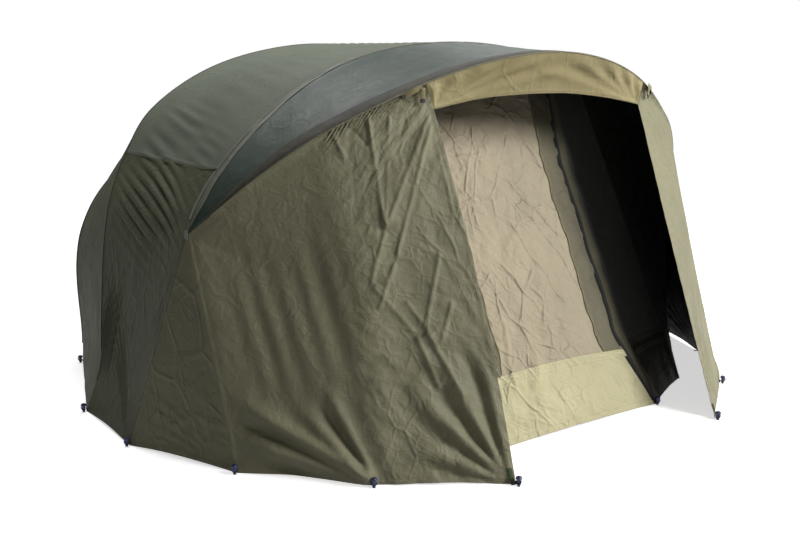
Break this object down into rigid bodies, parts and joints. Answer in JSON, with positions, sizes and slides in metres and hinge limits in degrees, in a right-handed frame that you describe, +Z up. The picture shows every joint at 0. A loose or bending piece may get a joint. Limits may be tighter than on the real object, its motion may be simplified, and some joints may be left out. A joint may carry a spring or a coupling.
{
  "type": "bivvy tent",
  "caption": "Domed shelter on hinged tube ribs, with an inner skin, an outer wrap and an open porch under a khaki header.",
  "frame": {"origin": "on the ground under the middle of the bounding box", "axes": "+X to the right seen from behind the porch looking in, +Y from the porch to the rear wall, +Z up; metres"},
  "size_m": [3.1104, 2.7844, 1.5495],
  "materials": {
    "wrap_cloth": "woven, semi-matt, dark olive",
    "roof_cloth": "woven, coated, dark green with a soft sheen",
    "header_cloth": "woven, matt, khaki",
    "inner_cloth": "woven, creased, beige",
    "window_cloth": "fine dark mesh behind the beige wing",
    "frame_tube": "anodised, satin, dark green-grey",
    "hub_plastic": "moulded, black",
    "bolt_steel": "bright",
    "peg_plastic": "navy head on a dark shank",
    "zip_metal": "dark bronze",
    "sheet_cloth": "heavy coated sheet, black-green"
  },
  "bodies": {
    "root": {"wrap_porch_left": "wrap_cloth", "wrap_porch_right": "wrap_cloth", "wrap_side_front_left": "wrap_cloth", "wrap_side_front_right": "wrap_cloth", "wrap_gusset_left": "wrap_cloth", "wrap_gusset_right": "wrap_cloth", "wrap_side_rear_left": "wrap_cloth", "wrap_side_rear_right": "wrap_cloth", "wrap_back_bay": "wrap_cloth", "wrap_rear_wall": "wrap_cloth", "wrap_roof_front": "roof_cloth", "wrap_roof_rear": "roof_cloth", "inner_door": "inner_cloth", "inner_skin": "inner_cloth", "inner_back": "inner_cloth", "inner_wing_left": "window_cloth", "inner_wing_right": "window_cloth", "middle_rib": "frame_tube", "leg_left": "frame_tube", "leg_right": "frame_tube", "hub_block_left": "hub_plastic", "hub_block_right": "hub_plastic", "rear_foot_left": "hub_plastic", "rear_foot_right": "hub_plastic", "back_foot_left": "hub_plastic", "back_foot_right": "hub_plastic", "hub_bolt_left": "bolt_steel", "hub_bolt_right": "bolt_steel", "peg_porch_front_left": "peg_plastic", "peg_porch_front_right": "peg_plastic", "peg_porch_back_left": "peg_plastic", "peg_porch_back_right": "peg_plastic", "peg_side_front_left": "peg_plastic", "peg_side_front_right": "peg_plastic", "peg_side_middle_left": "peg_plastic", "peg_side_middle_right": "peg_plastic", "peg_side_rear_left": "peg_plastic", "peg_side_rear_right": "peg_plastic", "peg_back_corner_left": "peg_plastic", "peg_back_corner_right": "peg_plastic", "peg_rear_left": "peg_plastic", "peg_rear_right": "peg_plastic", "peg_inner_door_left": "peg_plastic", "peg_inner_door_right": "peg_plastic", "groundsheet": "sheet_cloth"},
    "front_rib": {"front_rib": "frame_tube", "wrap_header": "header_cloth"},
    "rear_rib": {"rear_rib": "frame_tube"},
    "back_rib": {"back_rib": "frame_tube"},
    "strut_left": {"strut_left": "frame_tube"},
    "strut_right": {"strut_right": "frame_tube"},
    "zip_slider_left": {"zip_slider_left": "zip_metal"},
    "zip_slider_right": {"zip_slider_right": "zip_metal"},
    "tie_left": {"tie_left": "hub_plastic"},
    "tie_right": {"tie_right": "hub_plastic"}
  },
  "joints": [
    {"name": "front_rib_fold", "type": "hinge", "parent": "root", "child": "front_rib", "pos_m": [0, -0.438, 0.82], "axis": [1, 0, 0], "range_deg": [-25, 0], "deforming": ["wrap_roof_front", "wrap_porch_left", "wrap_porch_right", "wrap_side_front_left", "wrap_side_front_right"]},
    {"name": "rear_rib_fold", "type": "hinge", "parent": "root", "child": "rear_rib", "pos_m": [0, 0.213, 0.024], "axis": [1, 0, 0], "range_deg": [0, 35], "deforming": ["wrap_roof_rear", "wrap_side_rear_left", "wrap_side_rear_right", "wrap_back_bay", "inner_skin", "inner_back"]},
    {"name": "back_rib_fold", "type": "hinge", "parent": "root", "child": "back_rib", "pos_m": [0, 0.896, 0.024], "axis": [1, 0, 0], "range_deg": [0, 25], "deforming": ["wrap_back_bay", "wrap_rear_wall", "inner_back"]},
    {"name": "strut_left_swing", "type": "hinge", "parent": "root", "child": "strut_left", "pos_m": [-0.31985, -0.35512, 1.47821], "axis": [0.9885, 0.0189, 0.1499], "range_deg": [-40, 0]},
    {"name": "strut_right_swing", "type": "hinge", "parent": "root", "child": "strut_right", "pos_m": [0.31985, -0.35512, 1.47821], "axis": [0.9885, -0.0189, -0.1499], "range_deg": [-40, 0]},
    {"name": "zip_left_run", "type": "slide", "parent": "root", "child": "zip_slider_left", "axis": [0, 0.4523, 0.8919], "range_m": [0, 0.66]},
    {"name": "zip_right_run", "type": "slide", "parent": "root", "child": "zip_slider_right", "axis": [0, 0.4523, 0.8919], "range_m": [0, 0.66]},
    {"name": "tie_left_swing", "type": "hinge", "parent": "front_rib", "child": "tie_left", "pos_m": [-0.60372, -0.87496, 1.33954], "axis": [-0.877, 0.3004, -0.375], "range_deg": [0, 60]},
    {"name": "tie_right_swing", "type": "hinge", "parent": "front_rib", "child": "tie_right", "pos_m": [0.60372, -0.87496, 1.33954], "axis": [-0.877, -0.3004, 0.375], "range_deg": [0, 60]}
  ]
}
